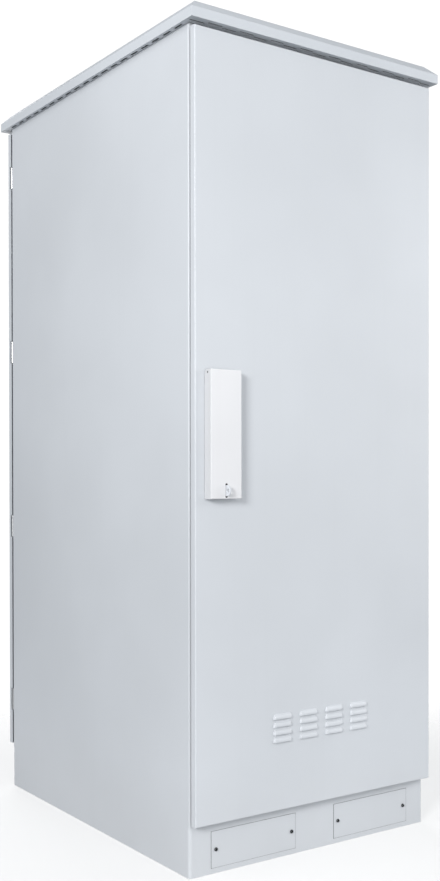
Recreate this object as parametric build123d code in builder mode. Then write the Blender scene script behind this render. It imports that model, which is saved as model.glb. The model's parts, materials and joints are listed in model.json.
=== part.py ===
from build123d import *
import os
from math import atan2, cos, degrees, radians, sin

# Outdoor equipment cabinet on a plinth
# A folded steel shell with one door at the front and the same door, turned half
# round, at the rear. A vented canopy covers the roof panel and its fans.
# Millimetres. X runs along the doors, Y from front to rear, Z upwards, and the
# origin lies on the ground under the middle of the cabinet.

# Shell
body_width = 745.0
body_depth = 930.0
wall_above_door = 18.0
sheet = 2.0
bend_radius = 3.0
corner_relief = 2.5
weld_overlap = 1.0
return_depth = 40.0
upstand = 26.0

# Plinth
plinth_height = 115.0
plinth_sheet = 2.5
plinth_corner_radius = 8.0
plinth_flange = 45.0
anchor_hole_radius = 7.0
anchor_inset = 24.0
anchor_setback = 60.0
frame_bolt_radius = 5.0
frame_bolt_inset_x = 52.0
frame_bolt_inset_y = 24.0
bolt_hole_clearance = 0.4
bolt_head_height = 6.5
bolt_nut_height = 8.0
hexagon_ratio = 1.8

# Plinth covers and their screws
cover_plate_width = 250.0
cover_plate_height = 85.0
cover_plate_sheet = 1.5
cover_plate_corner = 2.0
cover_plate_centre = 187.0
cover_plate_bottom = 13.0
hatch_margin_x = 25.0
hatch_margin_z = 12.0
screw_edge_inset = 12.5
screw_radius = 2.5
screw_length = 9.0
screw_head_radius = 4.6
screw_head_height = 2.6
screw_head_doming = 0.7
screw_socket_radius = 1.7
screw_socket_depth = 1.3

# Doors
door_sill_gap = 7.0
door_height = 1808.0
door_depth = 17.0
door_gap = 8.0
door_edge_radius = 2.6
seal_inset = 26.5
seal_width = 12.0
frame_lip_height = 12.0
running_gap = 0.3

# Hinges
hinge_count = 4
hinge_end_distance = 130.75
hinge_length = 62.0
hinge_lug_length = 12.0
hinge_axis_inset = 6.0
hinge_axis_gap = 11.0
knuckle_radius = 5.0
hinge_pin_radius = 2.5
pin_clearance = 0.05
hinge_plate = 2.5
hinge_plate_width = 18.0
hinge_neck_offset = 1.0
hinge_notch_margin = 1.5

# Louvres in the lower part of each door
louvre_width = 56.0
louvre_height = 12.0
louvre_depth = 5.0
louvre_pitch_x = 81.0
louvre_pitch_z = 18.4
louvre_columns = 4
louvre_rows = 4
louvre_lowest = 285.0
louvre_sheet = 1.4
louvre_bulge = 0.35

# Filter behind the louvres
filter_margin = 10.0
filter_border = 12.0
filter_depth = 22.0
filter_rim = 3.0
filter_mat_thickness = 15.0

# Lock cover
lock_cover_width = 87.0
lock_cover_height = 293.0
lock_cover_bottom = 865.0
lock_cover_side_inset = 25.5
lock_cover_depth = 25.0
lock_cover_sheet = 1.5
lock_cover_back_gap = 1.0
lock_cover_edge_radius = 2.4
lock_cover_pivot_drop = 7.0
lock_cover_pivot_stand_off = 12.0
lock_cover_pin_radius = 2.5
lock_cover_top_cut = 16.0
lock_cover_chamfer = 6.0

# Padlock tab and the slot it passes through
tab_thickness = 3.0
tab_height = 25.0
tab_reach = 16.0
tab_bottom = 871.5
tab_hole_radius = 4.0
tab_slot_width = 5.0
tab_relief_radius = 3.2
tab_relief_spacing = 26.8

# Lock base and T handle
base_plate = 2.5
base_width = 76.0
base_end_gap = 1.5
ear_thickness = 3.0
ear_radius = 5.0
dish_radius = 32.0
dish_wall = 2.0
dish_floor = 3.0
dish_depth = 12.0
dish_clearance = 0.3
sleeve_radius = 11.0
sleeve_gap = 0.5
handle_span = 60.0
handle_height = 12.0
handle_thickness = 12.0
handle_cover_gap = 3.5
stem_radius = 9.0
shaft_radius = 6.0
shaft_square = 8.0
square_clearance = 0.05

# Lock cam and rods
cam_plate = 4.0
cam_hub_radius = 12.0
crank_radius = 12.7
crank_pin_radius = 4.0
crank_half_swing = 45.0
tongue_width = 16.0
tongue_reach_past_frame = 10.0
tongue_gap = 1.5
rod_width = 20.0
rod_thickness = 5.0
rod_gap = 1.0
rod_offset = 11.0
rod_slot_play = 0.55
rod_end_margin = 7.0
rod_tip_gap = 10.0
rod_tip_radius = 6.0
guide_width = 40.0
guide_height = 14.0
guide_wall = 4.0
guide_clearance = 0.3
guide_distance_near = 250.0
guide_distance_end = 50.0

# Roof canopy
roof_gap = 10.0
fascia_height = 23.0
hip_rise = 24.0
hip_inset = 25.3
roof_overhang_side = 17.0
roof_overhang_front = 38.5
roof_sheet = 2.0
eaves_gap_side = 1.2
eaves_gap_front = 5.0
vent_width = 6.0
side_vent_length = 33.0
side_vent_pitch = 48.3
side_vent_count = 19
side_vent_offset = 7.0
front_vent_length = 42.0
front_vent_pitch = 90.0
front_vent_inner_count = 9
front_vent_inner_offset = 16.0
front_vent_row_spacing = 7.5
post_radius = 15.0
post_inset_x = 72.0
post_inset_y = 85.0
post_bolt_radius = 6.0
post_bolt_depth = 24.0
post_bolt_head = 8.0

# Fans under the roof panel
fan_size = 120.0
fan_height = 38.0
fan_corner = 6.0
fan_bore_radius = 57.0
fan_spacing = 240.0
fan_setback = 200.0
fan_floor = 4.0
fan_strut_width = 8.0
fan_motor_radius = 21.0
fan_axle_radius = 4.0
rotor_gap = 1.5
rotor_height = 24.0
blade_count = 7
blade_chord = 24.0
blade_thickness = 1.8
blade_pitch = 35.0
blade_tip_gap = 3.0

# Rack rails, their brackets and the depth rails
rack_hole_spacing = 465.1
rail_edge_distance = 9.5
rail_face_width = 36.0
rail_side_width = 30.0
rail_bottom = 210.0
rail_top_gap = 98.0
rail_setback = 85.0
depth_rail_height = 40.0
depth_rail_projection = 25.0
depth_rail_end_gap = 65.0
depth_rail_margin = 90.0
bracket_height = 30.0

# Cable entry, earth bar and thermostat
cable_hatch_length = 300.0
cable_hatch_width = 140.0
cable_plate = 3.0
cable_plate_margin = 15.0
cable_hatch_setback = 120.0
gland_pitch = 48.0
gland_count = 6
gland_hole_radius = 16.0
gland_flange_radius = 20.0
gland_flange = 4.0
gland_bore_radius = 9.0
gland_collar = 14.0
gland_membrane = 2.0
earth_bar_length = 220.0
earth_bar_width = 20.0
earth_bar_thickness = 5.0
earth_bar_height = 22.0
earth_bar_inset = 135.0
earth_post_radius = 8.0
earth_hole_radius = 4.2
earth_hole_pitch = 24.0
earth_hole_count = 7
thermostat_depth = 36.0
thermostat_width = 50.0
thermostat_height = 68.0
thermostat_dial_radius = 11.0
thermostat_dial_height = 4.0

# Planes and levels that several pieces share
half_width = body_width / 2
half_depth = body_depth / 2
door_bottom = plinth_height + door_sill_gap
door_top = door_bottom + door_height
wall_top = door_top + wall_above_door
door_middle = (door_bottom + door_top) / 2
door_back = half_depth + door_gap
door_front = door_back + door_depth
eaves = door_top + roof_gap
roof_panel_under = wall_top - sheet
frame_half_width = half_width - seal_inset - sheet / 2
frame_low = door_bottom + seal_inset + sheet / 2
frame_high = door_top - seal_inset - sheet / 2
frame_lip_front = half_depth + frame_lip_height
panel_half_depth = half_depth - sheet - corner_relief
hinge_pitch = (door_height - 2 * hinge_end_distance) / (hinge_count - 1)
hinge_levels = [door_middle + (i - (hinge_count - 1) / 2) * hinge_pitch for i in range(hinge_count)]
hinge_x = half_width - hinge_axis_inset
hinge_y = half_depth + hinge_axis_gap
lock_x = -(half_width - lock_cover_side_inset - lock_cover_width / 2)
lock_cover_top = lock_cover_bottom + lock_cover_height
lock_z = (lock_cover_bottom + lock_cover_top) / 2
lock_cover_front = door_front + lock_cover_depth
pivot_y = door_front + lock_cover_pivot_stand_off
pivot_z = lock_cover_top - lock_cover_pivot_drop
cam_front = half_depth - sheet - tongue_gap
cam_back = cam_front - cam_plate
rod_front = cam_back - rod_gap
rod_back = rod_front - rod_thickness
crank_x = crank_radius * cos(radians(crank_half_swing))
crank_z = crank_radius * sin(radians(crank_half_swing))
door_face = Plane.XZ.offset(door_front)
rear_face = Plane(origin=(0, 0, 0), x_dir=(-1, 0, 0), z_dir=(0, 1, 0))
floor_top = plinth_height + 2 * sheet
rail_length = wall_top - rail_top_gap - rail_bottom
depth_rail_length = body_depth - 2 * depth_rail_end_gap
depth_rail_levels = [
    rail_bottom + depth_rail_margin,
    rail_bottom + rail_length / 2,
    rail_bottom + rail_length - depth_rail_margin,
]
earth_bar_y = -(half_depth - earth_bar_inset)

os.makedirs("parts", exist_ok=True)


def save(part, name):
    """Name one finished piece and write it to its own file."""
    part.label = name
    export_step(part, f"parts/{name}.step")


def save_at_both_doors(part, name):
    """Write a front piece, and its twin turned half round for the rear."""
    save(part, f"front_{name}")
    save(part.rotate(Axis.Z, 180), f"rear_{name}")


def folded(points, thickness=sheet):
    """Section of a folded sheet whose middle line runs through the points."""
    with BuildSketch() as section:
        with BuildLine():
            FilletPolyline(*points, radius=bend_radius)
        trace(line_width=thickness)
    return section.sketch


# Plinth frame: a welded ring with a flange turned in at its foot and its top
with BuildPart() as plinth_frame:
    with BuildSketch():
        RectangleRounded(body_width, body_depth, plinth_corner_radius)
        offset(amount=-plinth_sheet, mode=Mode.SUBTRACT)
    extrude(amount=plinth_height)
    for level in (0, plinth_height - plinth_sheet):
        with BuildSketch(Plane.XY.offset(level)):
            RectangleRounded(body_width, body_depth, plinth_corner_radius)
            Rectangle(
                body_width - 2 * plinth_flange,
                body_depth - 2 * plinth_flange,
                mode=Mode.SUBTRACT,
            )
        extrude(amount=plinth_sheet)
    with BuildSketch():
        with GridLocations(body_width - 2 * anchor_inset, body_depth - 2 * anchor_setback, 2, 2):
            Circle(anchor_hole_radius)
    extrude(amount=plinth_sheet, mode=Mode.SUBTRACT)
    with BuildSketch(Plane.XY.offset(plinth_height)):
        with GridLocations(
            body_width - 2 * frame_bolt_inset_x, body_depth - 2 * frame_bolt_inset_y, 2, 2
        ):
            Circle(frame_bolt_radius + bolt_hole_clearance)
    extrude(amount=-plinth_sheet, mode=Mode.SUBTRACT)
    with BuildSketch(Plane.XZ.offset(half_depth)):
        with Locations((0, cover_plate_bottom + cover_plate_height / 2)):
            with GridLocations(2 * cover_plate_centre, 0, 2, 1):
                Rectangle(
                    cover_plate_width - 2 * hatch_margin_x,
                    cover_plate_height - 2 * hatch_margin_z,
                )
                with GridLocations(cover_plate_width - 2 * screw_edge_inset, 0, 2, 1):
                    Circle(screw_radius)
    extrude(amount=-body_depth, mode=Mode.SUBTRACT)
save(plinth_frame.part, "plinth_frame")

# Cover plates over the hatches in the plinth, two at the front and two at the rear
with BuildPart() as plinth_covers:
    with BuildSketch(Plane.XZ.offset(half_depth)):
        with Locations((0, cover_plate_bottom + cover_plate_height / 2)):
            with GridLocations(2 * cover_plate_centre, 0, 2, 1):
                RectangleRounded(cover_plate_width, cover_plate_height, cover_plate_corner)
                with GridLocations(cover_plate_width - 2 * screw_edge_inset, 0, 2, 1):
                    Circle(screw_radius, mode=Mode.SUBTRACT)
    extrude(amount=cover_plate_sheet)
save_at_both_doors(plinth_covers.part, "plinth_covers")

# Screws of the plinth covers
with BuildPart() as cover_screw:
    with BuildSketch():
        Circle(screw_radius)
    extrude(amount=-screw_length)
    with BuildSketch():
        Circle(screw_head_radius)
    extrude(amount=screw_head_height)
    fillet(cover_screw.edges().sort_by(Axis.Z)[-1], screw_head_height * screw_head_doming)
    with BuildSketch(Plane.XY.offset(screw_head_height)):
        RegularPolygon(screw_socket_radius, 6)
    extrude(amount=-screw_socket_depth, mode=Mode.SUBTRACT)
with BuildPart() as plinth_screws:
    for face in (Plane.XZ, rear_face):
        with Locations(face.offset(half_depth + cover_plate_sheet)):
            with Locations((0, cover_plate_bottom + cover_plate_height / 2)):
                with GridLocations(2 * cover_plate_centre, 0, 2, 1):
                    with GridLocations(cover_plate_width - 2 * screw_edge_inset, 0, 2, 1):
                        add(cover_screw.part)
save(plinth_screws.part, "plinth_cover_screws")

# Floor pan with the cable hatch
with BuildPart() as floor_pan:
    with BuildSketch(Plane.XZ.offset(panel_half_depth)):
        side = half_width - 1.5 * sheet
        level = plinth_height + 1.5 * sheet
        add(folded([(-side, level + upstand), (-side, level), (side, level), (side, level + upstand)]))
    extrude(amount=-2 * panel_half_depth)
    with BuildSketch(Plane.XY.offset(floor_top)):
        with Locations((0, cable_hatch_setback)):
            Rectangle(cable_hatch_length, cable_hatch_width)
        with GridLocations(
            body_width - 2 * frame_bolt_inset_x, body_depth - 2 * frame_bolt_inset_y, 2, 2
        ):
            Circle(frame_bolt_radius + bolt_hole_clearance)
    extrude(amount=-sheet, mode=Mode.SUBTRACT)
save(floor_pan.part, "floor_pan")

# Bolts and nuts that hold the shell to the plinth
with BuildPart() as frame_bolts:
    bolt_places = GridLocations(
        body_width - 2 * frame_bolt_inset_x, body_depth - 2 * frame_bolt_inset_y, 2, 2
    )
    nut_top = plinth_height - plinth_sheet
    with BuildSketch(Plane.XY.offset(nut_top)):
        with bolt_places:
            RegularPolygon(frame_bolt_radius * hexagon_ratio, 6)
    extrude(amount=-bolt_nut_height)
    with BuildSketch(Plane.XY.offset(nut_top - bolt_nut_height)):
        with bolt_places:
            Circle(frame_bolt_radius)
    extrude(amount=floor_top - nut_top + bolt_nut_height)
    with BuildSketch(Plane.XY.offset(floor_top)):
        with bolt_places:
            RegularPolygon(frame_bolt_radius * hexagon_ratio, 6)
    extrude(amount=bolt_head_height)
save(frame_bolts.part, "frame_bolts")

# Side walls, each folded round into the door frames at the front and the rear
with BuildPart() as left_wall:
    with BuildSketch(Plane.XY.offset(plinth_height)):
        side = half_width - sheet / 2
        end = half_depth - sheet / 2
        add(folded([(-frame_half_width, -end), (-side, -end), (-side, end), (-frame_half_width, end)]))
    extrude(amount=wall_top - plinth_height)
    for end in (-1, 1):
        with BuildSketch(Plane.XY.offset(frame_low - sheet)):
            with Locations((-frame_half_width, end * frame_lip_front)):
                Rectangle(
                    sheet,
                    frame_lip_height + sheet,
                    align=(Align.MAX, Align.MIN if end < 0 else Align.MAX),
                )
        extrude(amount=frame_high - frame_low + 2 * sheet)
save(left_wall.part, "left_wall")
save(left_wall.part.mirror(Plane.YZ), "right_wall")

# Header and sill between the side walls
for name, lip, outside, turn in (
    ("header", frame_high, roof_panel_under, 1),
    ("sill", frame_low, plinth_height, -1),
):
    with BuildPart() as frame_rail:
        with BuildSketch(Plane.YZ.offset(-frame_half_width)):
            front = -(half_depth - sheet / 2)
            lip_middle = lip + turn * sheet / 2
            flange_middle = outside - turn * sheet / 2
            add(
                folded(
                    [
                        (-frame_lip_front, lip_middle),
                        (front, lip_middle),
                        (front, flange_middle),
                        (front + return_depth, flange_middle),
                    ]
                )
            )
        extrude(amount=2 * frame_half_width)
        if name == "sill":
            with BuildSketch(Plane.XY.offset(plinth_height + sheet)):
                with Locations((0, -half_depth + frame_bolt_inset_y)):
                    with GridLocations(body_width - 2 * frame_bolt_inset_x, 0, 2, 1):
                        Circle(frame_bolt_radius + bolt_hole_clearance)
            extrude(amount=-sheet, mode=Mode.SUBTRACT)
    save_at_both_doors(frame_rail.part, name)

# Roof panel with the fan openings
fan_places = [(-fan_spacing / 2, fan_setback), (fan_spacing / 2, fan_setback)]
post_places = GridLocations(body_width - 2 * post_inset_x, body_depth - 2 * post_inset_y, 2, 2)
with BuildPart() as roof_panel:
    with BuildSketch(Plane.XZ.offset(panel_half_depth)):
        side = half_width - 1.5 * sheet
        level = roof_panel_under + sheet / 2
        add(folded([(-side, level - upstand), (-side, level), (side, level), (side, level - upstand)]))
    extrude(amount=-2 * panel_half_depth)
    with BuildSketch(Plane.XY.offset(wall_top)):
        with Locations(*fan_places):
            Circle(fan_bore_radius)
        with post_places:
            Circle(post_bolt_radius + bolt_hole_clearance)
    extrude(amount=-sheet, mode=Mode.SUBTRACT)
save(roof_panel.part, "roof_panel")

# Roof canopy: hipped edges, a flat top and a vented lip turned in at the eaves
roof_width = body_width + 2 * roof_overhang_side
roof_depth = body_depth + 2 * roof_overhang_front
roof_top = eaves + fascia_height + hip_rise
with BuildPart() as roof_canopy:
    with BuildSketch(Plane.XY.offset(eaves)):
        Rectangle(roof_width, roof_depth)
    extrude(amount=fascia_height)
    with BuildSketch(Plane.XY.offset(eaves + fascia_height)):
        Rectangle(roof_width, roof_depth)
    extrude(amount=hip_rise, taper=degrees(atan2(hip_inset, hip_rise)))
    offset(amount=-roof_sheet, openings=roof_canopy.faces().sort_by(Axis.Z)[0])
    with BuildSketch(Plane.XY.offset(eaves)):
        Rectangle(roof_width, roof_depth)
        Rectangle(
            body_width + 2 * eaves_gap_side, body_depth + 2 * eaves_gap_front, mode=Mode.SUBTRACT
        )
        with GridLocations(
            body_width + 2 * side_vent_offset, side_vent_pitch, 2, side_vent_count
        ):
            SlotOverall(side_vent_length, vent_width, rotation=90, mode=Mode.SUBTRACT)
        with GridLocations(
            front_vent_pitch,
            body_depth + 2 * front_vent_inner_offset,
            front_vent_inner_count,
            2,
        ):
            SlotOverall(front_vent_length, vent_width, mode=Mode.SUBTRACT)
        with GridLocations(
            front_vent_pitch,
            body_depth + 2 * (front_vent_inner_offset + front_vent_row_spacing),
            front_vent_inner_count - 1,
            2,
        ):
            SlotOverall(front_vent_length, vent_width, mode=Mode.SUBTRACT)
    extrude(amount=roof_sheet)
save(roof_canopy.part, "roof_canopy")

# Posts that carry the canopy, bolted from below through the roof panel
with BuildPart() as roof_posts:
    with BuildSketch(Plane.XY.offset(wall_top)):
        with post_places:
            Circle(post_radius)
    extrude(amount=roof_top - roof_sheet - wall_top)
    with BuildSketch(Plane.XY.offset(wall_top)):
        with post_places:
            Circle(post_bolt_radius + pin_clearance)
    extrude(amount=post_bolt_depth, mode=Mode.SUBTRACT)
save(roof_posts.part, "roof_posts")
with BuildPart() as roof_bolts:
    with BuildSketch(Plane.XY.offset(roof_panel_under)):
        with post_places:
            RegularPolygon(post_bolt_radius * hexagon_ratio, 6)
    extrude(amount=-post_bolt_head)
    with BuildSketch(Plane.XY.offset(roof_panel_under)):
        with post_places:
            Circle(post_bolt_radius)
    extrude(amount=post_bolt_depth)
save(roof_bolts.part, "roof_bolts")

# Fans: a square frame with a spider that carries the motor axle, and a rotor
fan_bottom = roof_panel_under - fan_height
rotor_bottom = fan_bottom + fan_floor + rotor_gap
for name, place in (("left_fan", fan_places[0]), ("right_fan", fan_places[1])):
    with BuildPart() as fan_frame:
        with BuildSketch(Plane.XY.offset(fan_bottom)):
            with Locations(place):
                RectangleRounded(fan_size, fan_size, fan_corner)
                Circle(fan_bore_radius, mode=Mode.SUBTRACT)
        extrude(amount=fan_height)
        with BuildSketch(Plane.XY.offset(fan_bottom)):
            with Locations(place):
                Circle(fan_motor_radius)
                Rectangle(2 * (fan_bore_radius + weld_overlap), fan_strut_width, rotation=45)
                Rectangle(2 * (fan_bore_radius + weld_overlap), fan_strut_width, rotation=-45)
        extrude(amount=fan_floor)
        with BuildSketch(Plane.XY.offset(fan_bottom)):
            with Locations(place):
                Circle(fan_axle_radius)
        extrude(amount=fan_floor + rotor_gap + rotor_height + rotor_gap)
    save(fan_frame.part, f"{name}_frame")
    with BuildPart() as fan_rotor:
        with BuildSketch(Plane.XY.offset(rotor_bottom)):
            with Locations(place):
                Circle(fan_motor_radius)
        extrude(amount=rotor_height)
        for blade in range(blade_count):
            turn = blade * 360 / blade_count
            outward = (cos(radians(turn)), sin(radians(turn)), 0)
            across = (-sin(radians(turn)), cos(radians(turn)), 0)
            root = Plane(
                origin=(place[0], place[1], rotor_bottom + rotor_height / 2),
                x_dir=across,
                z_dir=outward,
            )
            with BuildSketch(root.offset(fan_motor_radius / 2)):
                Rectangle(blade_chord, blade_thickness, rotation=blade_pitch)
            extrude(amount=fan_bore_radius - blade_tip_gap - fan_motor_radius / 2)
        with BuildSketch(Plane.XY.offset(rotor_bottom)):
            with Locations(place):
                Circle(fan_axle_radius + pin_clearance)
        extrude(amount=rotor_height, mode=Mode.SUBTRACT)
    save(fan_rotor.part, f"{name}_rotor")

# Depth rails on the side walls
with BuildPart() as depth_rails:
    with BuildSketch(Plane.XZ.offset(depth_rail_length / 2)):
        wall_face = -(half_width - sheet)
        web = wall_face + depth_rail_projection - sheet / 2
        for level in depth_rail_levels:
            low = level - (depth_rail_height - sheet) / 2
            high = level + (depth_rail_height - sheet) / 2
            add(folded([(wall_face, low), (web, low), (web, high), (wall_face, high)]))
    extrude(amount=-depth_rail_length)
    mirror(about=Plane.YZ)
save(depth_rails.part, "depth_rails")

# Rack rails: a pair of angles whose faces carry the equipment
rail_outer = rack_hole_spacing / 2 - rail_edge_distance + rail_face_width
rail_front = half_depth - rail_setback
with BuildPart() as rack_rails:
    with BuildSketch(Plane.XY.offset(rail_bottom)):
        inner = rail_outer - rail_face_width
        face_middle = -(rail_front - sheet / 2)
        add(
            folded(
                [
                    (-inner, face_middle),
                    (-(rail_outer - sheet / 2), face_middle),
                    (-(rail_outer - sheet / 2), face_middle + rail_side_width),
                ]
            )
        )
    extrude(amount=rail_length)
    mirror(about=Plane.YZ)
save_at_both_doors(rack_rails.part, "rack_rails")

# Brackets between the rack rails and the depth rails
with BuildPart() as rail_brackets:
    with BuildSketch(Plane.XZ.offset(rail_front - sheet - bend_radius)):
        near = rail_outer + sheet / 2
        far = half_width - sheet - depth_rail_projection - sheet / 2
        for level in depth_rail_levels:
            low = level - bracket_height / 2
            high = level + bracket_height / 2
            add(folded([(-near, high), (-near, low), (-far, low), (-far, high)]))
    extrude(amount=-(rail_side_width - bend_radius))
    mirror(about=Plane.YZ)
    mirror(about=Plane.XZ)
save(rail_brackets.part, "rail_brackets")

# Cable entry plate and its grommets, each closed by a thin membrane at its foot
plate_length = cable_hatch_length + 2 * cable_plate_margin
plate_width = cable_hatch_width + 2 * cable_plate_margin
with BuildPart() as cable_entry_plate:
    with BuildSketch(Plane.XY.offset(floor_top)):
        with Locations((0, cable_hatch_setback)):
            Rectangle(plate_length, plate_width)
            with GridLocations(gland_pitch, 0, gland_count, 1):
                Circle(gland_hole_radius, mode=Mode.SUBTRACT)
    extrude(amount=cable_plate)
save(cable_entry_plate.part, "cable_entry_plate")
with BuildPart() as cable_grommets:
    with BuildSketch(Plane.XY.offset(floor_top + cable_plate)):
        with Locations((0, cable_hatch_setback)):
            with GridLocations(gland_pitch, 0, gland_count, 1):
                Circle(gland_flange_radius)
    extrude(amount=gland_flange)
    with BuildSketch(Plane.XY.offset(floor_top + cable_plate)):
        with Locations((0, cable_hatch_setback)):
            with GridLocations(gland_pitch, 0, gland_count, 1):
                Circle(gland_hole_radius - pin_clearance)
    extrude(amount=-gland_collar)
    with BuildSketch(Plane.XY.offset(floor_top + cable_plate + gland_flange)):
        with Locations((0, cable_hatch_setback)):
            with GridLocations(gland_pitch, 0, gland_count, 1):
                Circle(gland_bore_radius)
    extrude(amount=-(gland_collar + gland_flange - gland_membrane), mode=Mode.SUBTRACT)
save(cable_grommets.part, "cable_grommets")

# Earth bar on two insulating posts
with BuildPart() as earth_bar:
    with BuildSketch(Plane.XY.offset(floor_top + earth_bar_height)):
        with Locations((0, earth_bar_y)):
            Rectangle(earth_bar_length, earth_bar_width)
            with GridLocations(earth_hole_pitch, 0, earth_hole_count, 1):
                Circle(earth_hole_radius, mode=Mode.SUBTRACT)
    extrude(amount=earth_bar_thickness)
save(earth_bar.part, "earth_bar")
with BuildPart() as earth_posts:
    with BuildSketch(Plane.XY.offset(floor_top)):
        with Locations((0, earth_bar_y)):
            with GridLocations(earth_bar_length - 4 * earth_post_radius, 0, 2, 1):
                RegularPolygon(earth_post_radius, 6)
    extrude(amount=earth_bar_height)
save(earth_posts.part, "earth_posts")

# Fan thermostat on the upper left depth rail
with BuildPart() as thermostat:
    rail_face = -(half_width - sheet - depth_rail_projection)
    with BuildSketch(Plane.YZ.offset(rail_face)):
        with Locations((0, depth_rail_levels[-1])):
            RectangleRounded(thermostat_width, thermostat_height, bend_radius)
    extrude(amount=thermostat_depth)
    with BuildSketch(Plane.YZ.offset(rail_face + thermostat_depth)):
        with Locations((0, depth_rail_levels[-1])):
            Circle(thermostat_dial_radius)
    extrude(amount=thermostat_dial_height)
save(thermostat.part, "thermostat")


def louvre(depth, height, width, inward=0):
    """Rounded hood on the door face, open downwards, with its foot at the origin."""
    end_x = width / 2 - depth
    with BuildSketch(Plane.YZ) as profile:
        with BuildLine():
            Line((0, 0), (-depth, 0))
            SagittaArc((-depth, 0), (0, height), depth * louvre_bulge)
            Line((0, height), (0, 0))
        make_face()
    with BuildPart() as hood:
        extrude(profile.sketch.moved(Location((-end_x, 0, 0))), amount=2 * end_x, dir=(1, 0, 0))
        for end in (-1, 1):
            revolve(
                profile.sketch.moved(Location((end * end_x, 0, 0))),
                axis=Axis((end * end_x, 0, 0), (0, 0, end)),
                revolution_arc=90,
            )
        if inward:
            with BuildSketch(Plane.XZ):
                Rectangle(2 * end_x, height, align=(Align.CENTER, Align.MIN))
            extrude(amount=-inward)
    return hood.part


# Door: a folded tray with louvres, a lock opening and notches for the hinges
louvre_outside = louvre(louvre_depth, louvre_height, louvre_width)
louvre_inside = louvre(
    louvre_depth - louvre_sheet,
    louvre_height - louvre_sheet,
    louvre_width - 2 * louvre_sheet,
    sheet,
)
louvre_span_x = (louvre_columns - 1) * louvre_pitch_x + louvre_width
louvre_span_z = (louvre_rows - 1) * louvre_pitch_z + louvre_height
louvre_spots = [
    ((i - (louvre_columns - 1) / 2) * louvre_pitch_x, -door_front, louvre_lowest + j * louvre_pitch_z)
    for i in range(louvre_columns)
    for j in range(louvre_rows)
]
notch_depth = hinge_y + knuckle_radius + running_gap - door_back
with BuildPart() as door:
    with BuildSketch(door_face):
        with Locations((0, door_middle)):
            Rectangle(body_width, door_height)
    extrude(amount=-door_depth)
    fillet(door.faces().sort_by(Axis.Y)[0].edges(), door_edge_radius)
    offset(amount=-sheet, openings=door.faces().sort_by(Axis.Y)[-1])
    with BuildSketch(Plane.YZ.offset(half_width - 2 * sheet)):
        with Locations(*[(-door_back, level) for level in hinge_levels]):
            Rectangle(
                notch_depth,
                hinge_length + 2 * hinge_notch_margin,
                align=(Align.MAX, Align.CENTER),
            )
    extrude(amount=3 * sheet, mode=Mode.SUBTRACT)
    with BuildSketch(door_face):
        with Locations((lock_x, lock_z)):
            Circle(dish_radius + dish_wall + dish_clearance)
    extrude(amount=-sheet, mode=Mode.SUBTRACT)
    with Locations(*louvre_spots):
        add(louvre_outside)
    with Locations(*louvre_spots):
        add(louvre_inside, mode=Mode.SUBTRACT)
save_at_both_doors(door.part, "door")

# Door seal, pressed lightly against the lip of the frame
with BuildPart() as door_seal:
    with BuildSketch(door_face.offset(-sheet)):
        with Locations((0, door_middle)):
            Rectangle(
                body_width - 2 * seal_inset + seal_width, door_height - 2 * seal_inset + seal_width
            )
            Rectangle(
                body_width - 2 * seal_inset - seal_width,
                door_height - 2 * seal_inset - seal_width,
                mode=Mode.SUBTRACT,
            )
    extrude(amount=-(door_front - sheet - frame_lip_front - running_gap))
save_at_both_doors(door_seal.part, "door_seal")

# Hinges: lugs on the frame, a knuckle on the door and a pin through both
lug_offset = (hinge_length - hinge_lug_length) / 2
neck_inner = hinge_x - knuckle_radius
neck_width = knuckle_radius + hinge_neck_offset
hinge_plate_inner = hinge_x + hinge_neck_offset - hinge_plate_width
with BuildPart() as hinge_brackets:
    for level in hinge_levels:
        with BuildSketch(Plane.XY.offset(level - hinge_length / 2)):
            with Locations((hinge_plate_inner, -half_depth)):
                Rectangle(hinge_plate_width, hinge_plate, align=(Align.MIN, Align.MAX))
        extrude(amount=hinge_length)
        for lug in (-lug_offset, lug_offset):
            with BuildSketch(Plane.XY.offset(level + lug - hinge_lug_length / 2)):
                with Locations((hinge_x, -hinge_y)):
                    Circle(knuckle_radius)
                with Locations((neck_inner, -half_depth)):
                    Rectangle(neck_width, hinge_axis_gap, align=(Align.MIN, Align.MAX))
            extrude(amount=hinge_lug_length)
        with BuildSketch(Plane.XY.offset(level - hinge_length / 2)):
            with Locations((hinge_x, -hinge_y)):
                Circle(hinge_pin_radius + pin_clearance)
        extrude(amount=hinge_length, mode=Mode.SUBTRACT)
save_at_both_doors(hinge_brackets.part, "hinge_brackets")
with BuildPart() as hinge_pins:
    for level in hinge_levels:
        with BuildSketch(Plane.XY.offset(level - hinge_length / 2)):
            with Locations((hinge_x, -hinge_y)):
                Circle(hinge_pin_radius)
        extrude(amount=hinge_length)
save(Compound([*hinge_pins.solids(), *hinge_pins.part.rotate(Axis.Z, 180).solids()]), "hinge_pins")
leaf_length = hinge_length - 2 * hinge_lug_length - 2 * running_gap
door_inner_face = door_front - sheet
with BuildPart() as hinge_leaves:
    for level in hinge_levels:
        with BuildSketch(Plane.XY.offset(level - leaf_length / 2)):
            with Locations((hinge_x, -hinge_y)):
                Circle(knuckle_radius)
            with Locations((neck_inner, -hinge_y)):
                Rectangle(neck_width, door_inner_face - hinge_y, align=(Align.MIN, Align.MAX))
            with Locations((hinge_x + hinge_neck_offset, -door_inner_face)):
                Rectangle(
                    hinge_x + hinge_neck_offset - (half_width - seal_inset + seal_width / 2 + weld_overlap),
                    hinge_plate,
                    align=(Align.MAX, Align.MIN),
                )
            with Locations((hinge_x, -hinge_y)):
                Circle(hinge_pin_radius + pin_clearance, mode=Mode.SUBTRACT)
        extrude(amount=leaf_length)
save_at_both_doors(hinge_leaves.part, "hinge_leaves")

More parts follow.
